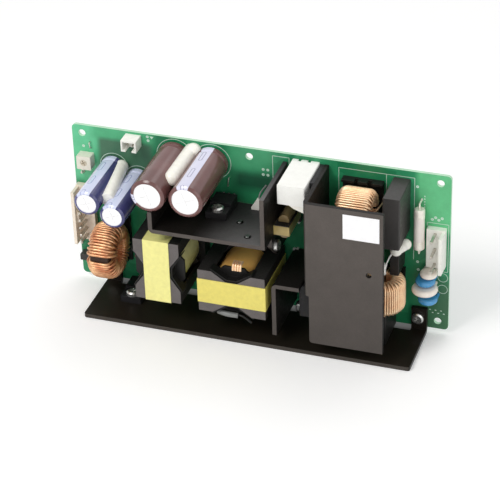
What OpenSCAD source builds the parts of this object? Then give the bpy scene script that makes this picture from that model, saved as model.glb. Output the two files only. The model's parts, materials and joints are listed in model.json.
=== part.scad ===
// Open frame power supply: an upright circuit board, bolted to a black sheet base by two tabs,
// with folded sheet heatsinks, taped transformers, wound toroids and capacitors on its front face.
// Units are millimetres. The layout is drawn on the board: X along it, Y up it, Z out of its front.
// The last module stands it up: X right, Y to the back, Z up, the base's underside on Z = 0.

/* [Board] */
// Length of the circuit board
board_l = 180; // [178:0.5:184]
// Height of the circuit board
board_h = 81.6; // [81.4:0.2:84]
// Thickness of the circuit board
board_t = 1.6; // [1.2:0.2:2]
// Corner radius of the circuit board
board_corner_r = 2; // [1:0.5:2.5]
// Diameter of the mounting holes
mount_hole_d = 3.5; // [3:0.1:4]
// Distance of a mounting hole from the board's end
hole_end_gap = 4.9; // [4.4:0.1:5.4]
// Distance of a mounting hole from the board's long edge
hole_edge_gap = 4.15; // [3.8:0.05:4.5]
// Place of the top middle hole along the board
middle_hole_x = 86.3; // [84:0.1:90]

/* [Base plate] */
// Thickness of the folded black sheets
sheet_t = 2; // [1.6:0.1:2]
// Depth of the base plate in front of the board
plate_depth = 32.7; // [32.4:0.1:40]
// Left end of the base plate
plate_x0 = 13.2; // [12:0.2:14]
// Distance of the base plate's right end from the board's
plate_end_gap = 9.6; // [8:0.1:10]
// Gap between the board's lower edge and the base plate
plate_gap = 0.55; // [0.3:0.05:1]
// Width of the two upright tabs
tab_w = 7.2; // [7:0.1:8]
// Height of the two upright tabs above the board's lower edge
tab_top = 10.8; // [10:0.1:12]
// Distance of the plate's back edge from the board
plate_back_gap = 4; // [3:0.5:4]

/* [Panel heatsink] */
// Left face of the panel heatsink's side wall
panel_x0 = 121.9; // [121.8:0.1:122.4]
// Right edge of the front panel
panel_x1 = 158.4; // [157:0.2:160]
// Bottom of the front panel
panel_y0 = 6; // [5:0.5:8]
// Top of the front panel
panel_y1 = 79; // [78:0.2:80]
// Distance of the heatsink fronts from the board
sink_depth = 35; // [34.5:0.1:36]
// Height at which the side wall steps back
panel_step_y = 31; // [30:0.5:34]
// Distance of the lower wall's front edge from the board
lower_wall_depth = 25; // [25:0.5:27]

/* [Channel heatsink] */
// Left face of the channel heatsink
channel_x0 = 49.3; // [48.6:0.1:49.6]
// Right face of the channel heatsink
channel_x1 = 104.4; // [103.6:0.1:104.4]
// Underside of the shelf
shelf_y = 51.7; // [50.5:0.1:51.8]
// Top of the short left wall
channel_left_top = 62.7; // [61:0.1:63]
// Top of the tall right wall
channel_right_top = 77.5; // [76:0.5:79]
// Bottom of the right wall below the shelf
channel_foot_y = 39; // [38.6:0.1:41]

/* [Angle heatsink] */
// Left face of the angle heatsink
angle_x0 = 105.9; // [105.7:0.1:106.5]
// Right end of the angle heatsink's arm
angle_x1 = 118.9; // [117:0.1:119]
// Bottom of the angle heatsink
angle_y0 = 4.7; // [3:0.1:6]
// Top of the angle heatsink
angle_y1 = 32.2; // [32.2:0.1:34]

/* [Electrolytic capacitors] */
// Radius of the two brown capacitors
brown_r = 8; // [7.4:0.1:8]
// Length of the two brown capacitors
brown_len = 37; // [36:0.5:40]
// Radius of the two blue capacitors
blue_r = 6; // [5.5:0.1:6.2]
// Length of the two blue capacitors
blue_len = 35; // [32:0.5:36]
// Distance of the brown capacitors' centres from the board's top edge
brown_edge_gap = 9.6; // [8.6:0.1:10]
// Centre of the left brown capacitor
brown_x1 = 50.5; // [49.5:0.1:51]
// Centre of the right brown capacitor
brown_x2 = 68.5; // [68:0.1:69]

/* [Transformers] */
// Long side of the two large ferrite cores
core_l = 32; // [31:0.1:32]
// Short side of the two large ferrite cores
core_w = 22; // [21.6:0.1:22]
// Height of the two large ferrite cores
core_h = 30.4; // [30:0.1:31]
// Diameter of the round window in the ferrite cores
window_d = 27.5; // [27:0.1:27.5]
// Diameter of the ferrite cores' centre post
post_d = 13.4; // [12.8:0.1:13.6]
// Thickness of the ferrite at each end of the window
core_back = 4.55; // [4.3:0.05:4.8]
// Depth of the notches in the ferrite cores' open sides
notch_depth = 4.7; // [4:0.1:5]
// Gap between the board and the ferrite cores
core_lift = 1.9; // [1.4:0.1:2.4]
// Width of the yellow tape around the ferrite cores
tape_w = 12.5; // [11:0.1:13]
// Thickness of the yellow tape
tape_t = 0.3; // [0.2:0.05:0.4]
// Centre of the upright transformer along the board
t1_x = 51.2; // [50.5:0.1:51.8]
// Centre of the upright transformer up the board
t1_y = 29.6; // [29:0.1:31]
// Centre of the lying transformer along the board
t2_x = 86.9; // [86:0.1:87.4]
// Centre of the lying transformer up the board
t2_y = 23.2; // [22.6:0.1:24]

/* [Wound toroids] */
// Outer radius of the large coil over its wire
coil_r = 13.5; // [13:0.1:13.8]
// Wire thickness of the large coil
coil_wire = 1.3; // [1.2:0.05:1.35]
// Number of turns in each layer of the large coil
coil_turns_n = 30; // [24:1:30]
// Outer radius of the two line chokes over their wire
choke_r = 10.5; // [10:0.1:10.8]
// Wire thickness of the two line chokes
choke_wire = 0.95; // [0.85:0.05:0.95]
// Number of turns in each layer of the line chokes
choke_turns_n = 29; // [24:1:29]

/* [Small parts] */
// Length of the white ceramic resistor out of the board
resistor_depth = 24; // [22:0.5:26]
// Height of the film capacitor
film_h = 26; // [24:0.1:27]
// Depth of the film capacitor out of the board
film_depth = 19; // [17:0.5:21]
// Radius of the fuse body
fuse_r = 2.4; // [2.2:0.1:2.5]
// Pitch of the pins in the two large headers
pin_pitch = 3.96; // [3.9:0.02:4]
// Height of the friction walls on the two large headers
header_wall_h = 9.4; // [8:0.1:11]
// Side of the trimmer's square body
trimmer_side = 7; // [6.6:0.1:7.4]
// Radius of the trimmer's rotor
rotor_r = 1.6; // [1.4:0.05:1.8]
// Running clearance round the trimmer's rotor
rotor_gap = 0.06; // [0.04:0.01:0.1]

/* [Hidden] */
// Fine enough for true curves
$fn = 48;
// Small allowance between parts assembled side by side
fit_gap = 0.05;
// Clearance between neighbouring turns of wire inside a toroid's hole
turn_gap = 0.03;
// Length of a solder joint behind the board
joint_tail = 1.6;
joint_r = 0.6;
joint_bore_r = joint_r + fit_gap;
// The middle of the object's depth, used as its origin
depth_mid = (brown_len - board_t - joint_tail) / 2;
plate_top = -plate_gap;
plate_bottom = plate_top - sheet_t;
core_front = core_lift + core_h;
flange_reach = core_w / 2 + 0.9;
plate_x1 = board_l - plate_end_gap;
brown_y = board_h - brown_edge_gap;
screw_r = 1.45;
screw_hole_r = 1.6;
head_r = 2.8;
head_h = 2;
// Start, middle and end of the pressed groove round each can
groove = [3.1, 3.9, 4.7];
blue_places = [[19.9, 61.9], [32, 57]];
brown_places = [[brown_x1, brown_y], [brown_x2, brown_y]];
corner_holes = [
    [hole_end_gap, hole_edge_gap],
    [board_l - hole_end_gap, hole_edge_gap],
    [hole_end_gap, board_h - hole_edge_gap],
    [board_l - hole_end_gap, board_h - hole_edge_gap]];
tab_screws_x = [plate_x0 + tab_w / 2 - 0.4, plate_x1 - tab_w / 2 - 0.4];
tab_screw_y = 5.8;
// The large headers
out_header_x = 0.8;
out_header_y = 21;
out_pins_n = 7;
out_header_l = (out_pins_n - 1) * pin_pitch + 5.7;
line_header_x1 = board_l - 1.6;
line_header_y = 34.7;
line_slots = 5;
line_header_l = (line_slots - 1) * pin_pitch + 4.36;
header_w = 8.6;
header_base_h = 3;
// Transistors
shelf_top = shelf_y + sheet_t;
pack_w = 10;
pack_l = 16;
pack_t = 4.5;
pack_tab_t = 3.2;
pack_tab_l = 7;
pack_hole = 13;
// Centre along the board and back end of the shelf's transistor and of the plate's rectifier
shelf_pack = [76, 3];
rect_pack = [31.3, 2.5];
wall_body = [12, 29.8];
wall_body_t = 5.4;
wall_screw = [15.5, 21.5];
// Large coil and line chokes
coil_place = [14 + 6.45, 25.3];
coil_centre_h = coil_r + 1.5;
coil_half = 4.6;
choke_half = 6.6;
upper_choke = [139.95, board_h - 16.6];
lower_choke = [152.2, 23.9];
choke_centre_h = choke_r + 1.5;
// The base behind the upper choke, and the one behind the lower choke with its block below
upper_base = [[130.6, 149.4], [board_h - 25.1, board_h - 6.8]];
upper_ridge = [[0, 6], [7.6, 12], [14, 18.8]];
lower_base = [[142.6, 159.8], [12.6, 31.2]];
lower_block = [[145, 155.6], [0, 19]];
// Small transformer
t3_tape_t = 0.2;
t3_x0 = channel_x1 + t3_tape_t;
t3_box = [[t3_x0, t3_x0 + 7], [52.2, 57.4], [4, 22]];
t3_leads = [for (x = [1.2, 5.8]) for (y = [50.4, 59.2]) [t3_x0 + x, y]];
// Film and box capacitors, fuse and discs
film_x = [153.6, 161.6];
film_y0 = board_h - 4 - film_h;
box_cap = [[155, 159.4], [33, 45.5], [0, 11]];
corner_cap = [[0.8, 7.2], [9.8, 13], [0, 4.6]];
fuse_x = board_l - 13.3;
fuse_y = [44.5, 65.5];
fuse_out = 4;
disc_t = 3;
// Each disc's centre along the board and up it, its radius and the pitch of its leads
blue_discs = [[board_l - 9.6, 28.9, 4.6, 7], [board_l - 8.4, 19.2, 4.5, 7]];
cream_discs = [[board_l - 8.3, 32.7, 4.05, 5], [board_l - 9.5, 25.4, 6, 7]];
all_discs = concat(blue_discs, cream_discs);
disc_lift = 1;
run_r = 0.85;
run_start = 0.5;
res_box = [[106.9, 119.7], [board_h - 11.6, board_h - 1.9]];
trimmer_x = 3.2;
trimmer_y = 60.7;
trimmer_h = 5;
rotor_depth = 1.2;
small_header = [[26.8, 34.2], [board_h - 6.85, board_h - 1.1]];
small_header_depth = 7;
small_res = [32, 19];
bead_x = 90.7;
bead_out = [4.4, 6.6];
spare_hole = [152, 47];
channel_screw = [45.5, 20];
shelf_screws = [[87.3, 18.4], [94.5, 29.2]];
test_pin_at = [4, 57];

// A point inside a corner of a rectangle: a distance below 0 counts from its far side
function inset_corner(box, x, y) = [box[0][x > 0 ? 0 : 1] + x, box[1][y > 0 ? 0 : 1] + y];
function cap_leads(places, half) = [for (p = places) for (s = [-1, 1]) [p[0] + s * half, p[1]]];
rail_off = core_w / 2 + 1.8;
t1_leads = [for (s = [-1, 1]) for (i = [-2.5:1:2.5]) [t1_x + s * rail_off, t1_y + i * 4]];
t2_leads = [for (s = [-1, 1]) for (i = [-2.5:1:2.5]) [t2_x + i * 4, t2_y + s * rail_off]];
out_leads = [for (i = [0:out_pins_n - 1]) [out_header_x + 4.2, out_header_y + 2.85 + i * pin_pitch]];
line_leads = [for (i = [0, 2, 4]) [line_header_x1 - 4.6, line_header_y + 2.18 + i * pin_pitch]];
shelf_leads = [for (i = [-1, 0, 1]) [shelf_pack[0] + i * 2.54, shelf_top + 2.4]];
wall_leads = [for (i = [-1, 0, 1]) [panel_x0 - 2.6, (wall_body[0] + wall_body[1]) / 2 + i * 5.45]];
rect_leads = [for (i = [-1, 0, 1]) [rect_pack[0] + i * 2.54, 2.4]];
disc_leads = [for (d = all_discs) for (s = [-1, 1]) [d[0] + s * d[3] / 2, d[1]]];
fuse_leads = [[fuse_x, fuse_y[0] - 2.4], [fuse_x, fuse_y[1] + 2.4]];
coil_leads = [for (s = [-1, 1]) [coil_place[0] + s * 4, coil_place[1] + s * 11.7]];
upper_choke_leads = [for (x = [1, -1]) for (y = [3, -3]) inset_corner(upper_base, x, y)];
lower_choke_leads = [for (x = [1.2, -1.2]) for (y = [3, -1.4]) inset_corner(lower_base, x, y)];
film_leads = [for (y = [3, film_h - 3]) [(film_x[0] + film_x[1]) / 2, film_y0 + y]];
box_leads = [for (y = [35, 43.5]) [(box_cap[0][0] + box_cap[0][1]) / 2, y]];
res_leads = [for (x = [2.7, 10.1]) [res_box[0][0] + x, (res_box[1][0] + res_box[1][1]) / 2]];
small_leads = [small_res, [small_res[0], small_res[1] + 3.2]];
bead_leads = [for (s = [-1, 1]) [bead_x + s * 1.2, shelf_top + 0.9]];
trimmer_leads = [for (i = [-1, 0, 1]) [trimmer_x + 3.5 + i * 2.2, trimmer_y + (i == 0 ? 5.6 : 1.2)]];
small_header_mid = (small_header[0][0] + small_header[0][1]) / 2;
small_header_leads = [for (s = [-1, 1]) [small_header_mid + s * 1.25, board_h - 4.2]];
corner_cap_mid = [for (i = [0, 1]) (corner_cap[i][0] + corner_cap[i][1]) / 2];
corner_cap_leads = [for (s = [-1, 1]) [corner_cap_mid[0] + s * 1.8, corner_cap_mid[1]]];
all_leads = concat(
    cap_leads(brown_places, 3.75), cap_leads(blue_places, 2.5),
    t1_leads, t2_leads, t3_leads, out_leads, line_leads,
    shelf_leads, wall_leads, rect_leads, disc_leads, fuse_leads,
    coil_leads, upper_choke_leads, lower_choke_leads, film_leads, box_leads,
    res_leads, small_leads, bead_leads, trimmer_leads, small_header_leads,
    corner_cap_leads, [test_pin_at]);

// Which part to draw

// A box between two values on each axis
module brick(x, y, z) {
    translate([x[0], y[0], z[0]])
        cube([x[1] - x[0], y[1] - y[0], z[1] - z[0]]);
}

// A rectangle with rounded corners, its lower left corner at the origin
module round_rect(w, h, r) {
    translate([r, 0])
        square([w - 2 * r, h]);
    translate([0, r])
        square([w, h - 2 * r]);
    for (x = [r, w - r])
        for (y = [r, h - r])
            translate([x, y])
                circle(r);
}

// A box with all its edges rounded
module soft_brick(x, y, z, r) {
    w = x[1] - x[0];
    h = y[1] - y[0];
    d = z[1] - z[0];
    translate([x[0], y[0], z[0]])
        intersection() {
            linear_extrude(d)
                round_rect(w, h, r);
            translate([0, h, 0])
                rotate([90, 0, 0])
                    linear_extrude(h)
                        round_rect(w, d, r);
        }
}

// A rod standing out of the board
module rod_out(x, y, z0, z1, r) {
    translate([x, y, z0])
        cylinder(r = r, h = z1 - z0);
}

// A rod running up the board
module rod_up(x, y0, y1, z, r) {
    translate([x, y1, z])
        rotate([90, 0, 0])
            cylinder(r = r, h = y1 - y0);
}

// The piece to take off a corner to round it
module corner_cut(x, y, sx, sy, r) {
    translate([x, y])
        scale([sx, sy])
            difference() {
                translate([-1, -1])
                    square(r + 1);
                translate([r, r])
                    circle(r);
            }
}

// A rod along the board's length
module rod_along(x0, x1, y, z, r) {
    translate([x0, y, z])
        rotate([0, 90, 0])
            cylinder(r = r, h = x1 - x0);
}

// A pan head screw with a cross recess: its head sits on Z = 0 and its shank points down
module pan_screw(shank_l) {
    difference() {
        rotate_extrude()
            polygon([[0, -shank_l], [screw_r - 0.3, -shank_l], [screw_r, 0.4 - shank_l], [screw_r, 0],
                [head_r, 0], [head_r, head_h - 0.6], [head_r - 0.7, head_h], [0, head_h]]);
        for (a = [0, 90])
            rotate([0, 0, a])
                translate([-1.5, -0.3, head_h - 1])
                    cube([3, 0.6, 2]);
    }
}

module pcb() {
    color("#2f8f5b")
        difference() {
            translate([0, 0, -board_t])
                linear_extrude(board_t)
                    round_rect(board_l, board_h, board_corner_r);
            for (p = concat(corner_holes, [[middle_hole_x, board_h - hole_edge_gap]]))
                rod_out(p[0], p[1], -board_t - 1, 1, mount_hole_d / 2);
            for (p = all_leads)
                rod_out(p[0], p[1], -board_t - 1, 1, joint_bore_r);
            for (x = tab_screws_x)
                rod_out(x, tab_screw_y, -board_t - 1, 1, screw_hole_r);
        }
}

// One upright tab with its bend, drawn as a side profile and pushed along X
module plate_tab(x0) {
    translate([x0, 0, 0])
        rotate([90, 0, 90])
            linear_extrude(tab_w)
                difference() {
                    union() {
                        translate([plate_bottom, 0])
                            square([sheet_t, plate_back_gap + 1]);
                        translate([plate_bottom, 0])
                            square([tab_top - plate_bottom, sheet_t]);
                    }
                    corner_cut(plate_bottom, 0, 1, 1, sheet_t + 0.4);
                }
}

module base_plate() {
    color("#191713")
        difference() {
            union() {
                translate([0, plate_top, 0])
                    rotate([90, 0, 0])
                        linear_extrude(sheet_t)
                            difference() {
                                translate([plate_x0, plate_back_gap])
                                    square([plate_x1 - plate_x0, plate_depth - plate_back_gap]);
                                corner_cut(plate_x0, plate_depth, 1, -1, 1.2);
                                corner_cut(plate_x1, plate_depth, -1, -1, 1.2);
                            }
                plate_tab(plate_x0);
                plate_tab(plate_x1 - tab_w);
            }
            for (x = tab_screws_x)
                rod_out(x, tab_screw_y, -1, sheet_t + 1, screw_hole_r);
            rod_up(rect_pack[0], plate_bottom - 1, plate_top + 1, rect_pack[1] + pack_hole, screw_hole_r);
        }
}

module tab_screws() {
    color("#b9bab8")
        for (x = tab_screws_x)
            translate([x, tab_screw_y, sheet_t])
                rotate([0, 0, 35])
                    pan_screw(sheet_t + board_t + 1);
}

module panel_heatsink() {
    wall = [panel_x0, panel_x0 + sheet_t];
    relief = 0.5;
    color("#3a3733")
        difference() {
            union() {
                translate([0, panel_y1, 0])
                    rotate([90, 0, 0])
                        linear_extrude(panel_y1 - panel_step_y)
                            difference() {
                                union() {
                                    translate([panel_x0, 0])
                                        square([sheet_t, sink_depth]);
                                    translate([panel_x0, sink_depth - sheet_t])
                                        square([panel_x1 - panel_x0, sheet_t]);
                                }
                                corner_cut(panel_x0, sink_depth, 1, -1, sheet_t + 0.5);
                            }
                brick(wall, [panel_y0, panel_step_y + 1], [0, lower_wall_depth]);
                translate([wall[1] + relief, panel_y0, sink_depth - sheet_t])
                    linear_extrude(sheet_t)
                        difference() {
                            square([panel_x1 - wall[1] - relief, panel_step_y + 1 - panel_y0]);
                            corner_cut(0, 0, 1, 1, 1.5);
                        }
            }
            // A threaded fixing hole low on the right of the panel
            rod_out(spare_hole[0], spare_hole[1], sink_depth - sheet_t - 1, sink_depth + 1, 1.3);
            rod_along(wall[0] - 1, wall[1] + 1, wall_screw[0], wall_screw[1], screw_hole_r);
        }
}

module channel_heatsink() {
    right_wall = [channel_x1 - sheet_t, channel_x1];
    bend_r = sheet_t + 0.5;
    color("#211f1c")
        difference() {
            union() {
                linear_extrude(sink_depth)
                    difference() {
                        union() {
                            translate([channel_x0, shelf_y])
                                square([sheet_t, channel_left_top - shelf_y]);
                            translate([channel_x0, shelf_y])
                                square([channel_x1 - channel_x0, sheet_t]);
                            translate([channel_x1 - sheet_t, shelf_y])
                                square([sheet_t, channel_right_top - shelf_y]);
                        }
                        corner_cut(channel_x0, shelf_y, 1, 1, bend_r);
                    }
                // The right wall's lower part, with its front corner cut at a slant
                translate([right_wall[0], 0, 0])
                    rotate([90, 0, 90])
                        linear_extrude(sheet_t)
                            polygon([[channel_foot_y, 0], [shelf_y + 1, 0], [shelf_y + 1, 25],
                                [channel_foot_y + 8, 25], [channel_foot_y, 17]]);
            }
            // The shelf's back edge clears the board
            brick([channel_x0 + sheet_t, channel_x1 - sheet_t], [shelf_y - 1, shelf_top + 1], [-1, 2]);
            rod_up(shelf_pack[0], shelf_y - 1, shelf_top + 1, shelf_pack[1] + pack_hole, screw_hole_r);
            for (p = shelf_screws)
                rod_up(p[0], shelf_y - 1, shelf_top + 1, p[1], screw_hole_r);
            rod_along(right_wall[0] - 1, right_wall[1] + 1, channel_screw[0], channel_screw[1], screw_hole_r);
        }
}

module angle_heatsink() {
    color("#2b2926")
        linear_extrude(32)
            difference() {
                union() {
                    translate([angle_x0, angle_y0])
                        square([sheet_t, angle_y1 - angle_y0]);
                    translate([angle_x0, angle_y1 - sheet_t])
                        square([angle_x1 - angle_x0, sheet_t]);
                }
                corner_cut(angle_x0, angle_y1, 1, -1, sheet_t + 0.6);
            }
}

module heatsink_screws() {
    color("#c3c4c2") {
        // Through the shelf transistor, head up
        translate([shelf_pack[0], shelf_top + pack_tab_t, shelf_pack[1] + pack_hole])
            rotate([-90, 0, 0])
                pan_screw(pack_tab_t + sheet_t + 1);
        // Through the rectifier, head up
        translate([rect_pack[0], plate_top + pack_tab_t, rect_pack[1] + pack_hole])
            rotate([-90, 0, 0])
                pan_screw(pack_tab_t + sheet_t);
        // Through the wall transistor, head to the left
        translate([panel_x0 - wall_body_t, wall_screw[0], wall_screw[1]])
            rotate([0, -90, 0])
                pan_screw(wall_body_t + sheet_t + 1);
        // In the channel's lower wall, head to the right
        translate([channel_x1, channel_screw[0], channel_screw[1]])
            rotate([0, 90, 0])
                pan_screw(sheet_t + 2.5);
        // Up through the shelf, their tips just above it
        for (p = shelf_screws)
            translate([p[0], shelf_y, p[1]])
                rotate([90, 0, 0])
                    pan_screw(sheet_t + 0.8);
    }
}

// A moulded package lying on its back at Y = 0, its leads towards the board and its tab away from it
module moulded_pack() {
    difference() {
        union() {
            brick([-pack_w / 2, pack_w / 2], [0, pack_t], [0, pack_l - pack_tab_l]);
            brick([-pack_w / 2, pack_w / 2], [0, pack_tab_t], [pack_l - pack_tab_l, pack_l]);
        }
        rod_up(0, -1, pack_t, pack_hole, screw_hole_r);
    }
}

module shelf_transistor() {
    color("#1d1d1f")
        translate([shelf_pack[0], shelf_top, shelf_pack[1]])
            moulded_pack();
}

module plate_rectifier() {
    color("#1c1c1e")
        translate([rect_pack[0], plate_top, rect_pack[1]])
            moulded_pack();
}

// The larger package on the panel's side wall, its front end stepped in
module wall_transistor() {
    x = [panel_x0 - wall_body_t, panel_x0];
    color("#1f1f21")
        difference() {
            union() {
                brick(x, wall_body, [5, 24]);
                brick([x[0] + 0.8, x[1]], [wall_body[0] + 0.6, wall_body[1] - 0.6], [24, 25]);
            }
            rod_along(x[0] - 1, x[1] + 1, wall_screw[0], wall_screw[1], screw_hole_r);
        }
}

module transistor_leads() {
    color("#b7b4ac") {
        for (p = shelf_leads)
            brick([p[0] - 0.4, p[0] + 0.4], [p[1] - 0.25, p[1] + 0.25], [0, shelf_pack[1]]);
        for (p = wall_leads)
            brick([p[0] - 0.3, p[0] + 0.3], [p[1] - 0.55, p[1] + 0.55], [0, 5]);
        for (p = rect_leads)
            brick([p[0] - 0.4, p[0] + 0.4], [p[1] - 0.25, p[1] + 0.25], [0, rect_pack[1]]);
    }
}

module wall_insulator_solid() {
    brick([panel_x0 - 1.9, panel_x0], [60, 78.8], [0, 17]);
}

module wall_insulator() {
    color("#3b3c3e")
        wall_insulator_solid();
}

module thermistor_bead() {
    color("#e9e6dd")
        translate([bead_x, shelf_top, bead_out[0]])
            linear_extrude(bead_out[1] - bead_out[0])
                polygon([[-1.9, 0], [1.7, 0], [2, 1.2], [2, 5.4], [1.2, 5.8], [0.6, 5.4], [-1.9, 1.2]]);
}

// The aluminium can of one capacitor, with its pressed groove and scored end
module can(r, length) {
    inner = r - 0.3;
    difference() {
        rotate_extrude()
            polygon([[0, 2.2], [inner - 0.6, 2.2], [inner - 0.6, 0.9], [inner, 0.9],
                [inner, groove[0] - 0.05], [inner - 0.7, groove[1]], [inner, groove[2] + 0.05],
                [inner, length - 0.9], [inner - 0.6, length - 0.3],
                [0, length - 0.3]]);
        for (a = [0, 90])
            rotate([0, 0, a + 20])
                translate([-inner * 0.62, -0.15, length - 0.55])
                    cube([inner * 1.24, 0.3, 1]);
    }
}

// The shrunk sleeve of one capacitor, turned over at both ends
module sleeve(r, length) {
    inner = r - 0.3 + fit_gap / 2;
    rotate_extrude()
        polygon([[r - 1.2, 0.65], [r - 0.3, 0.65], [r, 0.95], [r, groove[0]], [r - 0.6, groove[1]],
            [r, groove[2]], [r, length - 0.8], [r - 0.8, length], [r * 0.8, length],
            [r * 0.8, length - 0.28], [inner - 0.55, length - 0.28], [inner, length - 0.9],
            [inner, groove[2]], [inner - 0.6, groove[1]], [inner, groove[0]], [inner, 0.88],
            [r - 1.2, 0.88]]);
}

module cans(places, r, length) {
    for (p = places)
        translate([p[0], p[1], 0])
            can(r, length);
}

module sleeves(places, r, length) {
    for (p = places)
        translate([p[0], p[1], 0])
            sleeve(r, length);
}

// The rubber seals on which the four capacitors stand
module cap_seals() {
    color("#262422")
        for (group = [[brown_places, brown_r], [blue_places, blue_r]])
            for (p = group[0])
                rod_out(p[0], p[1], 0, 2.2, group[1] - 1.3);
}

// The notch in a core's open side at +X, or the same shape drawn in by a margin
module core_notch(margin) {
    floor_x = core_w / 2 - notch_depth + margin;
    polygon([[floor_x, margin * 0.5 - 2.7], [core_w / 2 + 2, margin - 9.4 - 2 * 1.43],
        [core_w / 2 + 2, 9.4 + 2 * 1.43 - margin], [floor_x, 2.7 - margin * 0.5]]);
}

// One half of a ferrite core with a round window, lying on its back at Z = 0
module core_half() {
    half = core_h / 2;
    difference() {
        translate([-core_w / 2, -core_l / 2, 0])
            cube([core_w, core_l, half]);
        difference() {
            translate([0, 0, core_back])
                cylinder(d = window_d, h = half);
            cylinder(d = post_d, h = half);
        }
        for (a = [0, 180])
            rotate([0, 0, a])
                translate([0, 0, -1])
                    linear_extrude(half + 2)
                        core_notch(0);
    }
}

// Both halves of a core, touching at mid height
module core_pair() {
    core_half();
    translate([0, 0, core_h])
        mirror([0, 0, 1])
            core_half();
}

// A bobbin's flange: an octagon whose flat sides stand a little out of the core's open sides
module bobbin_flange() {
    rotate([0, 0, 22.5])
        circle(r = flange_reach / cos(22.5), $fn = 8);
}

// The bobbin: a tube round the post, two flanges, a folded lip along each notch of the front flange,
// and two rails down to the board
module core_bobbin() {
    z0 = core_back;
    z1 = core_h - core_back;
    difference() {
        union() {
            translate([0, 0, z0])
                cylinder(r = post_d / 2 + 1, h = z1 - z0);
            for (z = [z0, z1 - 1])
                translate([0, 0, z])
                    linear_extrude(1)
                        bobbin_flange();
            for (a = [0, 180])
                rotate([0, 0, a])
                    translate([0, 0, z1 - 1])
                        linear_extrude(core_back + 0.5)
                            difference() {
                                core_notch(0.3);
                                core_notch(1);
                                translate([flange_reach, -core_l / 2])
                                    square(core_l);
                            }
        }
        translate([0, 0, z0 - 1])
            cylinder(r = post_d / 2 + 0.15, h = z1 - z0 + 2);
    }
    for (s = [-1, 1])
        translate([s * rail_off - 1.5, -12.5, -core_lift])
            cube([3, 25, core_lift + z0]);
}

// The winding under its wrap of tape
module core_winding() {
    z0 = core_back + 1;
    z1 = core_h - core_back - 1;
    difference() {
        translate([0, 0, z0])
            cylinder(r = flange_reach - 0.3, h = z1 - z0);
        translate([0, 0, z0 - 1])
            cylinder(r = post_d / 2 + 1 + fit_gap, h = z1 - z0 + 2);
    }
}

// The band of tape that holds the two halves together
module core_tape() {
    translate([-tape_w / 2, 0, 0])
        rotate([90, 0, 90])
            linear_extrude(tape_w)
                difference() {
                    translate([-core_l / 2 - tape_t, -tape_t])
                        square([core_l + 2 * tape_t, core_h + 2 * tape_t]);
                    translate([-core_l / 2, 0])
                        square([core_l, core_h]);
                }
}

module at_t1() {
    translate([t1_x, t1_y, core_lift])
        children();
}

module at_t2() {
    translate([t2_x, t2_y, core_lift])
        rotate([0, 0, 90])
            children();
}

// The small transformer beside the channel's wall
module t3_core() {
    x = t3_box[0];
    y = t3_box[1];
    z = t3_box[2];
    color("#4a4442")
        difference() {
            brick(x, y, z);
            brick([x[0] + 1, x[1] - 1], [y[0] - 1, y[1] + 1], [z[0] + 3.5, z[1] - 3.5]);
        }
}

module t3_winding() {
    z = t3_box[2];
    w = 4.9;
    color("#6b5638")
        translate([(t3_box[0][0] + t3_box[0][1]) / 2 - w / 2, t3_box[1][0] - 3.2, z[0] + 3.6])
            linear_extrude(z[1] - z[0] - 7.2)
                round_rect(w, 11.8, 2.4);
}

// The tape over the core's front and down its two sides
module t3_tape() {
    x = t3_box[0];
    z = t3_box[2];
    color("#e6cf86")
        difference() {
            brick([x[0] - t3_tape_t, x[1] + t3_tape_t], [t3_box[1][0] + 0.3, t3_box[1][1] - 0.3],
                [z[0], z[1] + t3_tape_t]);
            brick(x, t3_box[1], z);
        }
}

module t3_base() {
    color("#1b1a19")
        brick([t3_box[0][0], t3_box[0][1]], [t3_box[1][0] - 3, t3_box[1][1] + 3], [0, t3_box[2][0]]);
}

// The outline of one turn of wire round a toroid's section, from the hole to the rim
module turn_outline(r_hole, r_rim, half, wire, over) {
    lift = over ? wire + fit_gap : 0;
    difference() {
        union() {
            translate([r_hole - wire - lift, -half - wire - lift])
                round_rect(wire * 3, 2 * (half + wire + lift), wire * 0.9);
            polygon([[r_hole + wire, -half - wire - lift], [r_rim - 0.9, -half - wire - lift],
                [r_rim + wire, -half - wire * 0.2], [r_rim + wire, half + wire * 0.2],
                [r_rim - 0.9, half + wire + lift], [r_hole + wire, half + wire + lift]]);
        }
        polygon([[r_hole - lift, -half - lift], [r_rim - 1.2 * wire, -half - lift],
            [r_rim + fit_gap, -half], [r_rim + fit_gap, half],
            [r_rim - 1.2 * wire, half + lift], [r_hole - lift, half + lift]]);
    }
}

// How wide a turn can be and still clear the next one inside the hole
function turn_width(r_hole, wire, turns) =
    min(0.86 * wire, 2 * (r_hole - 2 * wire - fit_gap) * tan(180 / turns) - turn_gap);

// All the turns of a two layer toroid about Z, with some left out where the winding starts: at that
// share of half a circle
module toroid_turns(r_hole, r_rim, half, wire, turns, gap_at, gap_n) {
    width = turn_width(r_hole, wire, turns);
    for (i = [0:2 * turns - 1])
        if (abs(i - gap_at * turns) > gap_n)
            rotate([0, 0, i * 180 / turns])
                rotate([90, 0, 0])
                    translate([0, 0, -width / 2])
                        linear_extrude(width)
                            turn_outline(r_hole, r_rim, half, wire, i % 2 == 1);
}

module toroid_core(r_hole, r_rim, half) {
    rotate_extrude()
        translate([r_hole + fit_gap, -half + fit_gap])
            round_rect(r_rim - r_hole - fit_gap, 2 * (half - fit_gap), 0.8);
}

coil_rim = coil_r - coil_wire;
coil_hole = coil_rim - 4.5;
choke_rim = choke_r - choke_wire;
choke_hole = choke_rim - 3.8;

module at_coil() {
    translate([coil_place[0], coil_place[1], coil_centre_h])
        rotate([0, 90, 0])
            children();
}

module at_upper_choke() {
    translate([upper_choke[0], upper_choke[1], choke_centre_h])
        rotate([0, 90, 0])
            children();
}

module at_lower_choke() {
    translate([lower_choke[0], lower_choke[1], choke_centre_h])
        rotate([90, 0, 0])
            children();
}

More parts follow.
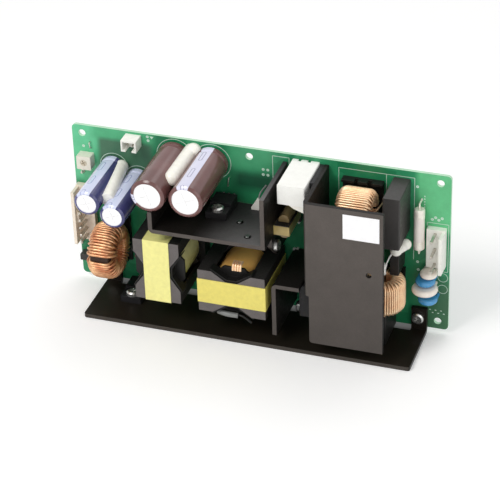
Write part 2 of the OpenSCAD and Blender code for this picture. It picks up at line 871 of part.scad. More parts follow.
module coil_core() {
    color("#4b3a2c")
        at_coil()
            toroid_core(coil_hole, coil_rim, coil_half);
}

module coil_turns() {
    color("#c98a5e")
        at_coil()
            toroid_turns(coil_hole, coil_rim, coil_half, coil_wire, coil_turns_n, 0.95, 1);
}

module coil_base() {
    x = coil_place[0];
    y = coil_place[1];
    color("#1c1b1a") {
        brick([x - 6.05, x + 6.05], [y - 13.3, y + 13.3], [0, 1.4]);
        for (s = [-1, 1])
            brick([x - 4.4, x + 4.4], [y + s * 12 - 1.3, y + s * 12 + 1.3], [1.4, 3.4]);
    }
}

module choke_cores() {
    color("#3f4a34") {
        at_upper_choke()
            toroid_core(choke_hole, choke_rim, choke_half);
        at_lower_choke()
            toroid_core(choke_hole, choke_rim, choke_half);
    }
}

module upper_choke_turns() {
    color("#d9a679")
        at_upper_choke()
            toroid_turns(choke_hole, choke_rim, choke_half, choke_wire, choke_turns_n, 0, 1);
}

module lower_choke_turns() {
    color("#d9a679")
        at_lower_choke()
            toroid_turns(choke_hole, choke_rim, choke_half, choke_wire, choke_turns_n, 1.5, 1);
}

module choke_bases() {
    color("#1a1918") {
        // Behind the upper choke, with a notched ridge above it
        brick(upper_base[0], upper_base[1], [0, 1.4]);
        for (x = upper_ridge)
            translate([upper_base[0][0], upper_base[1][1], 0])
                brick(x, [-1.2, 0], [1.4, 4]);
        // Behind the lower choke, with a block below it
        brick(lower_base[0], lower_base[1], [0, 1.4]);
        soft_brick(lower_block[0], [plate_top, lower_choke[1] - choke_half - 2 * choke_wire - 0.2],
            lower_block[1], 0.5);
    }
}

module cement_resistor() {
    color("#f3f1ea")
        difference() {
            soft_brick(res_box[0], res_box[1], [0, resistor_depth], 0.5);
            for (x = [3.6, 8.1])
                translate([res_box[0][0] + x, res_box[1][1], 0])
                    brick([-0.7, 0.7], [-1.1, 1], [-1, 1.5]);
        }
}

module film_capacitor() {
    color("#4b4846")
        soft_brick(film_x, [film_y0, film_y0 + film_h], [0, film_depth], 0.7);
}

module box_capacitor() {
    color("#343230")
        soft_brick(box_cap[0], box_cap[1], box_cap[2], 0.5);
}

module corner_capacitor() {
    color("#5a5651")
        soft_brick(corner_cap[0], corner_cap[1], corner_cap[2], 0.4);
}

module fuse_body() {
    color("#f1eee6")
        rod_up(fuse_x, fuse_y[0] + 4.6, fuse_y[1] - 4.6, fuse_out, fuse_r);
}

// The fuse's two end caps with their bent leads
module fuse_caps() {
    color("#c9c6bd")
        for (i = [0, 1]) {
            y = fuse_y[i];
            s = i == 0 ? 1 : -1;
            translate([fuse_x, y, fuse_out])
                rotate([-90 * s, 0, 0])
                    rotate_extrude()
                        polygon([[0, -2.4], [0.4, -2.4], [0.4, 0], [fuse_r - 0.4, 0],
                            [fuse_r + 0.1, 0.5], [fuse_r + 0.1, 4.6], [0, 4.6]]);
            rod_out(fuse_x, y - s * 2.4, 0, fuse_out, 0.4);
        }
}

// A header's base and its friction wall, along Y, with the wall on the left
module header_shell(l) {
    brick([0, header_w], [0, l], [0, header_base_h]);
    brick([0, 1.5], [0.6, l - 0.6], [header_base_h, header_wall_h]);
    brick([1.5, 2.3], [l / 2 - 3, l / 2 + 3], [header_base_h, header_wall_h - 2]);
}

module line_header() {
    color("#ece9df")
        difference() {
            translate([line_header_x1, line_header_y, 0])
                mirror([1, 0, 0])
                    header_shell(line_header_l);
            for (p = line_leads)
                brick([p[0] - 0.62, p[0] + 0.62], [p[1] - 0.62, p[1] + 0.62], [-1, header_base_h + 1]);
        }
}

module output_header() {
    color("#e3d9c3")
        difference() {
            translate([out_header_x, out_header_y, 0])
                header_shell(out_header_l);
            for (p = out_leads)
                brick([p[0] - 0.62, p[0] + 0.62], [p[1] - 0.62, p[1] + 0.62], [-1, header_base_h + 1]);
        }
}

module header_pins() {
    color("#c8c3b4")
        for (p = concat(line_leads, out_leads)) {
            brick([p[0] - 0.57, p[0] + 0.57], [p[1] - 0.57, p[1] + 0.57], [0, 10.6]);
            brick([p[0] - 0.3, p[0] + 0.3], [p[1] - 0.3, p[1] + 0.3], [10.6, 11.2]);
        }
}

module small_header() {
    x = small_header[0];
    y = small_header[1];
    color("#f4f2ec")
        difference() {
            brick(x, y, [0, small_header_depth]);
            brick([x[0] + 0.8, x[1] - 0.8], [y[0] + 0.8, y[1] - 0.8], [2, small_header_depth + 1]);
            brick([x[0] + 2.2, x[1] - 2.2], [y[0] - 1, y[0] + 1], [2, small_header_depth + 1]);
            for (p = small_header_leads)
                brick([p[0] - 0.35, p[0] + 0.35], [p[1] - 0.35, p[1] + 0.35], [-1, 3]);
        }
}

module small_header_pins() {
    color("#c8c3b4")
        for (p = small_header_leads)
            brick([p[0] - 0.32, p[0] + 0.32], [p[1] - 0.32, p[1] + 0.32], [0, small_header_depth - 1]);
}

rotor_x = trimmer_x + trimmer_side / 2;
rotor_y = trimmer_y + trimmer_side / 2;

module trimmer_body() {
    color("#d8d4c9")
        difference() {
            translate([trimmer_x, trimmer_y, 0])
                linear_extrude(trimmer_h)
                    round_rect(trimmer_side, trimmer_side, 0.4);
            rod_out(rotor_x, rotor_y, trimmer_h - rotor_depth, trimmer_h + 1, rotor_r + rotor_gap);
        }
}

module trimmer_rotor() {
    color("#8d8677")
        translate([rotor_x, rotor_y, trimmer_h - rotor_depth + rotor_gap])
            difference() {
                cylinder(r = rotor_r, h = rotor_depth - rotor_gap);
                for (a = [0, 90])
                    rotate([0, 0, a + 25])
                        translate([-rotor_r * 0.8, -0.25, rotor_depth - 0.7])
                            cube([rotor_r * 1.6, 0.5, 1]);
            }
}

module test_pin() {
    color("#d9d6cc")
        translate([test_pin_at[0], test_pin_at[1], 0])
            rotate_extrude()
                polygon([[0, 0], [0.9, 0], [0.9, 0.5], [0.6, 0.7], [0.6, 1.9], [0.4, 2.1], [0, 2.1]]);
}

// A dipped disc with a rounded rim, standing on its edge, its coat run down over the two leads
module disc(d) {
    for (s = [-1, 1])
        rod_out(d[0] + s * d[3] / 2, d[1], run_start,
            disc_lift + d[2] + 0.3 - sqrt(pow(d[2], 2) - pow(d[3] / 2 + run_r, 2)), run_r);
    translate([d[0], d[1] + disc_t / 2, d[2] + disc_lift])
        rotate([90, 0, 0])
            rotate_extrude() {
                square([d[2] - 1.3, disc_t]);
                translate([0, 0.5])
                    square([d[2] - 0.6, disc_t - 1]);
                translate([d[2] - 1.5, disc_t / 2])
                    circle(r = 1.5);
            }
}

module small_resistor() {
    color("#d8a79a")
        translate([small_res[0], small_res[1], 0])
            rotate_extrude()
                polygon([[0, 1.2], [1, 1.2], [1.6, 1.8], [1.6, 2.8], [1.25, 3.3], [1.25, 6.2],
                    [1.6, 6.7], [1.6, 7.7], [1, 8.3], [0, 8.3]]);
}

// Plain round leads between raised parts and the board
module part_leads() {
    color("#c2bfb6") {
        for (p = disc_leads)
            rod_out(p[0], p[1], 0, run_start, 0.3);
        rod_out(small_res[0], small_res[1], 0, 1.2, 0.3);
        rod_out(small_res[0], small_res[1], 8.3, 9.5, 0.3);
        rod_up(small_res[0], small_res[1], small_res[1] + 3.2, 9.5, 0.3);
        rod_out(small_res[0], small_res[1] + 3.2, 0, 9.5, 0.3);
        for (p = bead_leads)
            rod_out(p[0], p[1], 0, bead_out[0], 0.3);
    }
}

// The four beads of silicone that hold neighbouring parts
module silicone_beads() {
    color("#efeee6") {
        // Along the valley between the two blue capacitors
        difference() {
            translate([blue_places[0][0] + 4.8, blue_places[0][1] + 2.1, 3]) {
                rotate([4.6, 6.6, 0])
                    cylinder(r = 3.1, h = 26);
                sphere(r = 3.3);
            }
            for (p = blue_places)
                rod_out(p[0], p[1], -1, 40, blue_r + fit_gap);
            brick([10, 40], [50, 75], [-5, 0]);
        }
        // Along the valley between the two brown capacitors, with a lump at the board
        difference() {
            translate([(brown_x1 + brown_x2) / 2 - 0.8, brown_y + 4.4, 0]) {
                rotate([0.8, -1.2, 0]) {
                    cylinder(r = 3.5, h = 25);
                    translate([0, 0, 25])
                        sphere(r = 3.5);
                }
                translate([1.4, 0.6, 1.6])
                    sphere(r = 3.9);
            }
            for (p = brown_places)
                rod_out(p[0], p[1], -1, 40, brown_r + fit_gap);
            brick([45, 75], [60, board_h + 5], [-5, 0]);
        }
        // From the ceramic resistor to the panel heatsink's wall
        difference() {
            translate([0, 0, 5])
                linear_extrude(resistor_depth - 5)
                    polygon([[res_box[0][0] + 5.5, res_box[1][0]], [res_box[0][0] + 7.7, res_box[1][0] - 1.4],
                        [panel_x0 - 2.3, res_box[1][0] - 3.2], [panel_x0, res_box[1][0] - 3.6],
                        [panel_x0, res_box[1][0]]]);
            wall_insulator_solid();
        }
        // Below the film capacitor, onto the box capacitor
        difference() {
            translate([film_x[1] + 1, film_y0 - 1, 11.4])
                rotate([0, 63.7, 211.2]) {
                    sphere(r = 2.5);
                    cylinder(r = 2.4, h = 5);
                    translate([0, 0, 5])
                        sphere(r = 2.8);
                }
            brick(film_x, [film_y0, film_y0 + film_h], [0, film_depth]);
            brick(box_cap[0], box_cap[1], box_cap[2]);
        }
    }
}

// One solder joint: the filled hole, the cone behind the board and the lead's tip
module solder_joint() {
    b = -board_t;
    rotate_extrude()
        polygon([[0, 0], [joint_r, 0], [joint_r, b], [1.15, b], [0.7, b - 0.6], [0.45, b - 1],
            [0.4, b - joint_tail], [0, b - joint_tail]]);
}

module solder_joints() {
    color("#bfc2c4")
        for (p = all_leads)
            translate([p[0], p[1], 0])
                solder_joint();
}

module brown_cap_cans() {
    color("#d9dadc")
        cans(brown_places, brown_r, brown_len);
}

module brown_cap_sleeves() {
    color("#5d4440")
        sleeves(brown_places, brown_r, brown_len);
}

module blue_cap_cans() {
    color("#d9dadc")
        cans(blue_places, blue_r, blue_len);
}

module blue_cap_sleeves() {
    color("#2e3358")
        sleeves(blue_places, blue_r, blue_len);
}

module t1_core() {
    color("#4d4a49")
        at_t1() core_pair();
}

module t1_bobbin() {
    color("#1b1a1a")
        at_t1() core_bobbin();
}

module t1_winding() {
    color("#d8cf8a")
        at_t1() core_winding();
}

module t1_tape() {
    color("#f0ec9c")
        at_t1() core_tape();
}

module t2_core() {
    color("#4d4a49")
        at_t2() core_pair();
}

module t2_bobbin() {
    color("#1b1a1a")
        at_t2() core_bobbin();
}

module t2_winding() {
    color("#b98d3c")
        at_t2() core_winding();
}

module t2_tape() {
    color("#e6d66a")
        at_t2() core_tape();
}

module blue_discs() {
    color("#3f8dc0")
        for (d = blue_discs) disc(d);
}

module cream_discs() {
    color("#e2d8c4")
        for (d = cream_discs) disc(d);
}

// Stands the board up and puts the origin under the middle of the object
module stand_up() {
    translate([-board_l / 2, depth_mid, -plate_bottom])
        rotate([90, 0, 0])
            children();
}

stand_up() pcb();
stand_up() base_plate();
stand_up() tab_screws();
stand_up() panel_heatsink();
stand_up() channel_heatsink();
stand_up() angle_heatsink();
stand_up() heatsink_screws();
stand_up() shelf_transistor();
stand_up() wall_transistor();
stand_up() plate_rectifier();
stand_up() transistor_leads();
stand_up() wall_insulator();
stand_up() thermistor_bead();
stand_up() brown_cap_cans();
stand_up() brown_cap_sleeves();
stand_up() blue_cap_cans();
stand_up() blue_cap_sleeves();
stand_up() cap_seals();
stand_up() t1_core();
stand_up() t1_bobbin();
stand_up() t1_winding();
stand_up() t1_tape();
stand_up() t2_core();
stand_up() t2_bobbin();
stand_up() t2_winding();
stand_up() t2_tape();
stand_up() t3_core();
stand_up() t3_winding();
stand_up() t3_tape();
stand_up() t3_base();
stand_up() coil_core();
stand_up() coil_turns();
stand_up() coil_base();
stand_up() choke_cores();
stand_up() upper_choke_turns();
stand_up() lower_choke_turns();
stand_up() choke_bases();
stand_up() cement_resistor();
stand_up() film_capacitor();
stand_up() box_capacitor();
stand_up() corner_capacitor();
stand_up() fuse_body();
stand_up() fuse_caps();
stand_up() line_header();
stand_up() output_header();
stand_up() header_pins();
stand_up() small_header();
stand_up() small_header_pins();
stand_up() trimmer_body();
stand_up() trimmer_rotor();
stand_up() test_pin();
stand_up() blue_discs();
stand_up() cream_discs();
stand_up() small_resistor();
stand_up() part_leads();
stand_up() silicone_beads();
stand_up() solder_joints();
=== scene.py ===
import json
import math
import random

import bpy
from mathutils import Matrix, Vector


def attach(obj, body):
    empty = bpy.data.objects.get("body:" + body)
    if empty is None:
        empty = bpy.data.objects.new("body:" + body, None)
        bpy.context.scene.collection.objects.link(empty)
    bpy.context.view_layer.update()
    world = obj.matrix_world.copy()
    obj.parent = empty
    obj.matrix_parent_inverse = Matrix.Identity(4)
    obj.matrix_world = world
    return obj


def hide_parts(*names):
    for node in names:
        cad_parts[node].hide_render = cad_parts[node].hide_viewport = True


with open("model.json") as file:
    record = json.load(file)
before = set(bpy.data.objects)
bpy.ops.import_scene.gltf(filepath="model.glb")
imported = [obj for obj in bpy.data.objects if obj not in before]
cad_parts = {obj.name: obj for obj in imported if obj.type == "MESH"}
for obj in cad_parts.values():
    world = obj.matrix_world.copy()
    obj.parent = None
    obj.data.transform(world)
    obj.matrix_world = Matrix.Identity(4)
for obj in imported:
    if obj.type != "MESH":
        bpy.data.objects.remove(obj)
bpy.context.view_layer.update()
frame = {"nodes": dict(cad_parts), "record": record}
NODES = frame["nodes"]
BODY = "supply"

# ---------------------------------------------------------------- places
# The layout of the board in millimetres: along it, up it, and out of its front.
BOARD_L = 180.0
DEPTH_MID = 16.9
BOARD_RISE = 2.55
SINK_DEPTH = 35.0
PLATE_DEPTH = 32.7
CORE_FRONT = 32.3
BROWN_R = 8.0
BROWN_PLACES = [(50.5, 72.0), (68.5, 72.0)]
BLUE_R = 6.0
BLUE_PLACES = [(19.9, 61.9), (32.0, 57.0)]


def at_x(along):
    """A place along the board as an X of the object's frame, in metres."""
    return (along - BOARD_L / 2) / 1000


def at_y(out):
    """A place out of the board's front as a Y of the object's frame, in metres."""
    return (DEPTH_MID - out) / 1000


def at_z(up):
    """A place up the board as a Z of the object's frame, in metres."""
    return (up + BOARD_RISE) / 1000


def at(along, up, out):
    return Vector((at_x(along), at_y(out), at_z(up)))


def linear(r, g, b):
    """An 8-bit display colour as linear values."""
    def one(v):
        v /= 255
        return v / 12.92 if v <= 0.04045 else ((v + 0.055) / 1.055) ** 2.4
    return (one(r), one(g), one(b), 1.0)


# ---------------------------------------------------------------- materials
# What most of a noise texture's values lie between
NOISE_SPAN = (0.3, 0.7)
COAT_ROUGH = 0.12


class Mat:
    """A procedural material. Its scales count per metre, its depths are millimetres."""

    def __init__(self, colour, rough=0.5, metal=0.0, coat=0.0, shine=0.5):
        self.material = bpy.data.materials.new("look")
        self.material.use_nodes = True
        self.tree = self.material.node_tree
        self.nodes = self.tree.nodes
        self.bsdf = self.nodes["Principled BSDF"]
        self.bsdf.inputs["Base Color"].default_value = colour
        self.bsdf.inputs["Roughness"].default_value = rough
        self.bsdf.inputs["Metallic"].default_value = metal
        self.bsdf.inputs["Specular IOR Level"].default_value = shine
        self.bsdf.inputs["Coat Weight"].default_value = coat
        self.bsdf.inputs["Coat Roughness"].default_value = COAT_ROUGH
        self.colour = colour
        self.coords = self.nodes.new("ShaderNodeTexCoord").outputs["Object"]
        self.normal = None

    def put(self, kind, inputs=(), **props):
        """A new node with its properties set and its inputs linked or given a value."""
        node = self.nodes.new(kind)
        for key, value in props.items():
            setattr(node, key, value)
        for key, value in dict(inputs).items():
            if isinstance(value, bpy.types.NodeSocket):
                self.tree.links.new(value, node.inputs[key])
            else:
                node.inputs[key].default_value = value
        return node

    def math(self, op, a, b=0.0):
        return self.put("ShaderNodeMath", {0: a, 1: b}, operation=op).outputs[0]

    def plus(self, a, b):
        return self.math("ADD", a, b)

    def minus(self, a, b):
        return self.math("SUBTRACT", a, b)

    def times(self, a, b):
        return self.math("MULTIPLY", a, b)

    def size(self, a):
        """The value without its sign."""
        return self.math("ABSOLUTE", a)

    def ramp(self, value, lo, hi, a=0.0, b=1.0):
        """From a, where the value is lo, to b, where it is hi."""
        return self.put("ShaderNodeMapRange", {"Value": value, "From Min": lo, "From Max": hi,
                                               "To Min": a, "To Max": b}).outputs[0]

    def between(self, value, lo, hi, soft):
        """1 where the value lies between lo and hi, fading over soft to each side of both."""
        return self.times(self.ramp(value, lo - soft, lo + soft),
                          self.ramp(value, hi - soft, hi + soft, 1.0, 0.0))

    def mix(self, fac, a, b):
        return self.put("ShaderNodeMix", {0: fac, 6: a, 7: b}, data_type="RGBA").outputs[2]

    def noise(self, scale, detail=4.0, rough=0.55, stretch=(1, 1, 1)):
        vec = self.put("ShaderNodeMapping", {"Vector": self.coords, "Scale": stretch}).outputs[0]
        return self.put("ShaderNodeTexNoise", {"Vector": vec, "Scale": scale, "Detail": detail,
                                               "Roughness": rough}).outputs["Fac"]

    def cells(self, scale):
        return self.put("ShaderNodeTexVoronoi", {"Vector": self.coords, "Scale": scale}).outputs["Distance"]

    def place(self, axis):
        """Where the surface lies along X, Y or Z."""
        return self.put("ShaderNodeSeparateXYZ", {0: self.coords}).outputs[axis]

    def facing(self, axis):
        """How far the surface looks along X, Y or Z."""
        normal = self.put("ShaderNodeNewGeometry").outputs["Normal"]
        return self.put("ShaderNodeSeparateXYZ", {0: normal}).outputs[axis]

    def parallel(self, lo=0.6, hi=0.9):
        """1 on the faces that are parallel to the board."""
        return self.ramp(self.size(self.facing("Y")), lo, hi)

    def base(self, colour):
        self.tree.links.new(colour, self.bsdf.inputs["Base Color"])
        self.colour = colour
        return self

    def scaled(self, fac):
        """Scales the base colour's brightness by a factor."""
        inputs = {"Color": self.colour, "Value": fac}
        return self.base(self.put("ShaderNodeHueSaturation", inputs).outputs[0])

    def vary(self, scale, amount, detail=4.0):
        """Mottles the base colour between darker and lighter by the amount."""
        return self.scaled(self.ramp(self.noise(scale, detail), *NOISE_SPAN, 1 - amount, 1 + amount))

    def roughen(self, scale, lo, hi):
        """Mottles the roughness between two values."""
        rough = self.ramp(self.noise(scale, 5), *NOISE_SPAN, lo, hi)
        self.tree.links.new(rough, self.bsdf.inputs["Roughness"])
        return self

    def bend_light(self, normal):
        self.normal = normal
        self.tree.links.new(normal, self.bsdf.inputs["Normal"])
        return self

    def soften(self, radius):
        """Lets light catch the edges as if they were slightly rounded."""
        return self.bend_light(self.put("ShaderNodeBevel", {"Radius": radius / 1000}, samples=4).outputs[0])

    def bump(self, height, strength, depth=0.1):
        inputs = {"Height": height, "Strength": strength, "Distance": depth / 1000}
        if self.normal is not None:
            inputs["Normal"] = self.normal
        return self.bend_light(self.put("ShaderNodeBump", inputs).outputs[0])

    def grain(self, scale, strength, depth=0.1, stretch=(1, 1, 1)):
        return self.bump(self.noise(scale, 6, 0.6, stretch), strength, depth)


def base_sheet():
    """The smooth black coat of the base plate, with a painted highlight making its front face paler along
    the front edge.
    """
    coat, front_edge_highlight = linear(30, 26, 21), linear(66, 61, 56)
    m = Mat(coat, 0.36, shine=0.16)
    # Painted highlight: the plate's front face near its front edge takes the paler colour.
    at_edge = m.math("LESS_THAN", m.place("Y"), at_y(PLATE_DEPTH - 1))
    m.base(m.mix(m.times(m.ramp(m.facing("Y"), -0.6, -0.9), at_edge), coat, front_edge_highlight))
    m.vary(140, 0.10, 5).vary(2500, 0.10, 3)
    m.roughen(600, 0.32, 0.44)
    return m.soften(0.35).grain(5200, 0.12, 0.05)


def anodised():
    """Matt anodised sheet, with painted light: faces parallel to the board are painted paler, the shelf's
    top has painted light, and painted shade darkens the sheet lower down the board.
    """
    m = Mat(linear(26, 23, 21), 0.5, shine=0.22)
    x = m.place("X")
    # Painted light on the shelf's top: paler towards its right end and its front, darker at its left in the
    # shade of the cans.
    fade_from, fade_to, shelf_end = at_x(70), at_x(98), at_x(105)
    shelf = m.times(m.ramp(x, fade_from, fade_to), m.math("LESS_THAN", x, shelf_end))
    shelf_light = m.mix(m.ramp(m.place("Y"), at_y(12), at_y(34)), linear(50, 50, 51), linear(98, 96, 96))
    rest = m.mix(m.times(m.ramp(m.facing("Z"), 0.5, 0.9), shelf), linear(24, 21, 19), shelf_light)
    # Painted light: faces parallel to the board are paler, as if lit from the front.
    m.base(m.mix(m.parallel(), rest, linear(86, 80, 76)))
    # Painted shade: the sheet is darker lower down the board.
    m.scaled(m.ramp(m.place("Z"), at_z(4), at_z(70), 0.72, 1.0))
    m.vary(140, 0.07, 5).vary(2500, 0.08, 3)
    m.roughen(600, 0.42, 0.6)
    return m.soften(0.35).grain(5200, 0.14, 0.05)


def plastic(colour, rough=0.45, grain=0.1, coat=0.0, vary=0.06, edge=0.2, shine=0.5):
    m = Mat(colour, rough, coat=coat, shine=shine)
    m.vary(420, vary, 5)
    m.roughen(900, rough * 0.85, min(1.0, rough * 1.2))
    return m.soften(edge).grain(3200, grain, 0.06)


def metal(colour, rough=0.3, scratch=0.2, full=1.0):
    m = Mat(colour, rough, metal=full)
    m.vary(700, 0.10, 5)
    m.roughen(1500, rough * 0.75, rough * 1.4)
    return m.soften(0.12).grain(4200, scratch, 0.04)


def screw_plating():
    """Bright plating, darker on the shelf's two screw tips, and darkened with painted shade on the screw in
    the side wall's shade.
    """
    bright, darkened = linear(216, 216, 212), linear(84, 85, 84)
    m = Mat(bright, 0.32, metal=1.0)
    x = m.place("X")
    tips = m.between(x, at_x(83), at_x(98), 0.0005)
    # Painted shade: the screw beyond 109 mm along is darkened as if in the side wall's shade.
    shaded = m.ramp(x, at_x(109), at_x(110))
    m.base(m.mix(m.math("MAXIMUM", tips, shaded), bright, darkened))
    m.vary(700, 0.10, 5)
    m.roughen(1500, 0.24, 0.45)
    return m.soften(0.12).grain(4200, 0.15, 0.04)


def ferrite():
    """Fired ferrite, with painted light: faces parallel to the board are painted paler, as if lit from the
    front; the rest is darker.
    """
    fired, front_lit = linear(34, 32, 31), linear(100, 95, 94)
    m = Mat(front_lit, 0.6, shine=0.3)
    # Painted light: faces parallel to the board take the paler colour.
    m.base(m.mix(m.parallel(), fired, front_lit))
    m.vary(260, 0.10, 6).vary(3800, 0.12, 3)
    m.roughen(1400, 0.45, 0.75)
    return m.soften(0.3).grain(5200, 0.35, 0.06)


def tape(colour, under, see=0.12):
    """Polyester tape: glossy, faintly wrinkled, with the layer below showing through."""
    m = Mat(colour, 0.28, coat=0.25, shine=0.4)
    m.base(m.mix(m.ramp(m.noise(90, 3, stretch=(1, 1, 0.5)), 0.42, 0.72, 0.0, see), colour, under))
    m.vary(500, 0.05, 5)
    return m.soften(0.25).grain(260, 0.35, 0.25, (1, 0.6, 1)).grain(2200, 0.08, 0.05)


def copper(bright, deep):
    """Enamelled copper: warm metal, darker where the enamel is thicker."""
    m = Mat(bright, 0.34, metal=0.6, coat=0.2)
    m.base(m.mix(m.ramp(m.noise(170, 5), 0.36, 0.7), deep, bright))
    m.vary(1500, 0.10, 3)
    m.roughen(900, 0.28, 0.44)
    return m.grain(1800, 0.12, 0.06)


# Painted light and painted shade on the board's front, lighter where it is lit and darker where it lies in
# shade: range along, range up, soft edge, colour
BOARD_LIGHT_AND_SHADE = [((-9, 13), (52, 90), 2.5, linear(98, 196, 146)),
                 ((10, 40), (75.5, 90), 2.0, linear(76, 172, 122)),
                 ((13, 39), (60, 76), 1.2, linear(66, 112, 84)),
                 ((79, 100), (60, 69), 2.4, linear(24, 84, 58)),
                 ((76, 98), (70.5, 90), 2.0, linear(66, 160, 112)),
                 ((164.5, 190), (52, 90), 1.5, linear(96, 190, 132)),
                 ((166, 190), (-9, 26), 4.0, linear(62, 112, 78))]
# How fast the phase of the cloth's threads runs, in radians per metre
WEAVE = 9000.0


def solder_mask():
    """Green solder mask over glass cloth, with painted light and painted shade in patches on its front, and
    a pale cut edge that is partly the laminate's own colour and partly a painted highlight.
    """
    m = Mat(linear(48, 142, 96), 0.34, coat=0.12, shine=0.35)
    x, z = m.place("X"), m.place("Z")
    blocks = m.put("ShaderNodeTexVoronoi", {"Vector": m.coords, "Scale": 62.0, "Randomness": 0.9},
                   distance="CHEBYCHEV").outputs["Color"]
    pour = m.put("ShaderNodeSeparateColor", {0: blocks}).outputs[0]
    green = m.mix(m.ramp(pour, 0.45, 0.5), linear(34, 128, 84), linear(46, 142, 96))
    front = m.math("LESS_THAN", m.facing("Y"), -0.5)
    # Painted light and painted shade: patches of the front lightened where lit and darkened where shaded.
    for (x0, x1), (z0, z1), soft, colour in BOARD_LIGHT_AND_SHADE:
        patch = m.times(m.between(x, at_x(x0), at_x(x1), soft / 1000),
                        m.between(z, at_z(z0), at_z(z1), soft / 1000))
        green = m.mix(m.times(front, patch), green, colour)
    # The cut edge is pale: partly the laminate's own colour, partly a painted highlight.
    m.base(m.mix(m.parallel(0.3, 0.6), linear(186, 226, 196), green))
    m.vary(160, 0.08, 5).vary(2600, 0.05, 3)
    m.roughen(1200, 0.28, 0.44)
    threads = [m.math("SINE", m.times(way, WEAVE)) for way in (x, z)]
    return m.bump(m.plus(*threads), 0.08, 0.03)


# A mark on a sleeve's stripe: half its straight part as a share of the pitch, its radius as a
# share of the stripe's half width, and its line from full to nothing in radians
MARK_LONG = 0.2
MARK_ROUND = 0.27
MARK_LINE = (0.012, 0.03)
STRIPE_SOFT = 0.03


def sleeve(colour, dark, stripe, outline, places, angles, half_width, pitch, radius):
    """A shrunk sleeve on two cans, with the pale stripe of outlined marks along one side of each.

    The stripe's middle lies at the can's angle. Its half width is in radians, the marks' pitch
    in millimetres.
    """
    m = Mat(colour, 0.2, coat=0.3, shine=0.4)
    x, z = m.place("X"), m.place("Z")
    (x0, z0), (x1, z1) = [(at_x(along), at_z(up)) for along, up in places]
    second = m.math("GREATER_THAN", x, (x0 + x1) / 2)

    def of_can(a, b):
        """The value a on the first can and b on the second."""
        return m.plus(m.times(second, b - a), a)

    turn = m.math("ARCTAN2", m.minus(z, of_can(z0, z1)), m.minus(x, of_can(x0, x1)))
    off = m.size(m.minus(turn, of_can(*angles)))
    band = m.ramp(off, half_width, half_width + STRIPE_SOFT, 1.0, 0.0)
    # Each mark is a rounded bar: the distance from its middle line, less its radius, is its outline
    step = m.size(m.minus(m.math("FRACT", m.times(m.place("Y"), 1000 / pitch)), 0.5))
    beyond = m.times(m.math("MAXIMUM", m.minus(step, MARK_LONG), 0.0), pitch / radius)
    reach = m.math("POWER", m.plus(m.times(beyond, beyond), m.times(off, off)), 0.5)
    line = m.size(m.minus(reach, half_width * MARK_ROUND))
    mark = m.mix(m.ramp(line, *MARK_LINE, 1.0, 0.0), stripe, outline)
    m.base(m.mix(band, m.mix(m.ramp(m.noise(55, 3), 0.35, 0.7), dark, colour), mark))
    m.vary(260, 0.03, 3)
    m.roughen(300, 0.16, 0.24)
    return m.soften(0.25).grain(160, 0.06, 0.15, (1, 0.25, 1))


def drawn_can():
    """Drawn aluminium, satin on its end."""
    m = Mat(linear(253, 253, 254), 0.42, metal=0.3)
    m.vary(800, 0.03, 4)
    m.roughen(1600, 0.34, 0.5)
    return m.soften(0.2).grain(5000, 0.12, 0.04)


def ceramic(colour, rough, pits):
    m = Mat(colour, rough)
    m.vary(300, 0.03, 5).vary(3000, 0.02, 3)
    return m.soften(0.3).bump(m.ramp(m.cells(900), 0.0, 0.25), pits, 0.08).grain(1700, 0.2, 0.08)


def silicone():
    """Cured silicone: lumpy, and it lets a little light in."""
    m = Mat(linear(252, 250, 240), 0.26)
    m.bsdf.inputs["Subsurface Weight"].default_value = 0.05
    m.bsdf.inputs["Subsurface Radius"].default_value = (0.002, 0.002, 0.0015)
    m.vary(220, 0.04, 3)
    return m.grain(190, 0.6, 0.6).grain(900, 0.2, 0.1)


